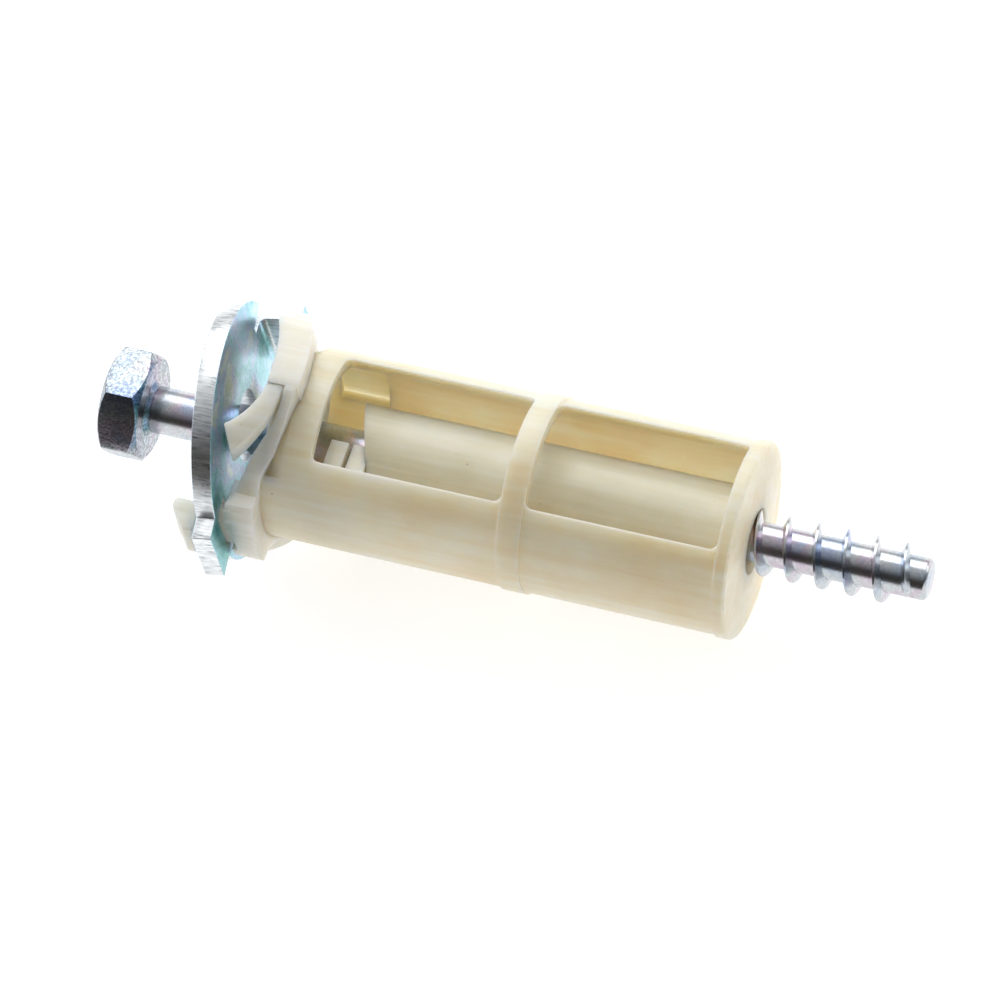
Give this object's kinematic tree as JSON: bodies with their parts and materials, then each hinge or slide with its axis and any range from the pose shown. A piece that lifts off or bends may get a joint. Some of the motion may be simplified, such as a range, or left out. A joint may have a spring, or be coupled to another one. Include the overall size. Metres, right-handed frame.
{
  "type": "transit bolt",
  "caption": "Transit bolt: hexagon-head screw with coarse thread through a tilting steel plate and a windowed nylon spacer sleeve with spring arms and a snap hook.",
  "frame": {"origin": "on the screw axis, in the plane of the flange's tube side, where the sleeve leaves the panel", "axes": "+X along the screw towards its tip; +Z the way the sleeve's windows open; +Y from the snap hook to the plate's tab"},
  "size_m": [0.1062, 0.0355, 0.0325],
  "materials": {
    "zinc_plated_screw": "bright zinc plate",
    "zinc_plated_sheet": "bluish zinc plate",
    "natural_nylon": "translucent, moulded"
  },
  "bodies": {
    "sleeve": {"flange": "natural_nylon", "sleeve_shell": "natural_nylon", "end_cap": "natural_nylon", "guide_tube": "natural_nylon", "shank_finger_1": "natural_nylon", "shank_finger_2": "natural_nylon", "shank_finger_3": "natural_nylon", "shank_finger_4": "natural_nylon"},
    "screw": {"screw_head": "zinc_plated_screw", "screw_shank": "zinc_plated_screw", "screw_thread": "zinc_plated_screw"},
    "plate": {"retaining_plate": "zinc_plated_sheet"},
    "near_arm": {"spring_arm_near": "natural_nylon"},
    "far_arm": {"spring_arm_far": "natural_nylon"},
    "hook": {"snap_hook": "natural_nylon"}
  },
  "joints": [
    {"name": "screw_slide", "type": "slide", "parent": "sleeve", "child": "screw", "axis": [1, 0, 0], "range_m": [0, 0.0075]},
    {"name": "plate_rock", "type": "hinge", "parent": "sleeve", "child": "plate", "pos_m": [-0.0038, -0.01362, -0.00739], "axis": [0, 0.4772, -0.8788], "range_deg": [0, 5], "stiffness_Nm_per_rad": 0.1},
    {"name": "near_arm_flex", "type": "hinge", "parent": "sleeve", "child": "near_arm", "pos_m": [0.0002, -0.0013, 0.014], "axis": [0, 0, 1], "range_deg": [0, 3.1]},
    {"name": "far_arm_flex", "type": "hinge", "parent": "sleeve", "child": "far_arm", "pos_m": [0.0002, -0.0013, -0.014], "axis": [0, 0, 1], "range_deg": [0, 1.6]},
    {"name": "hook_flex", "type": "hinge", "parent": "sleeve", "child": "hook", "pos_m": [-0.0026, -0.0138, 0], "axis": [0, 0, -1], "range_deg": [0, 6], "stiffness_Nm_per_rad": 0.002}
  ],
  "couplings": [
    {"joint": "near_arm_flex", "follows": "plate_rock", "ratio": 0.6},
    {"joint": "far_arm_flex", "follows": "plate_rock", "ratio": 0.3}
  ]
}
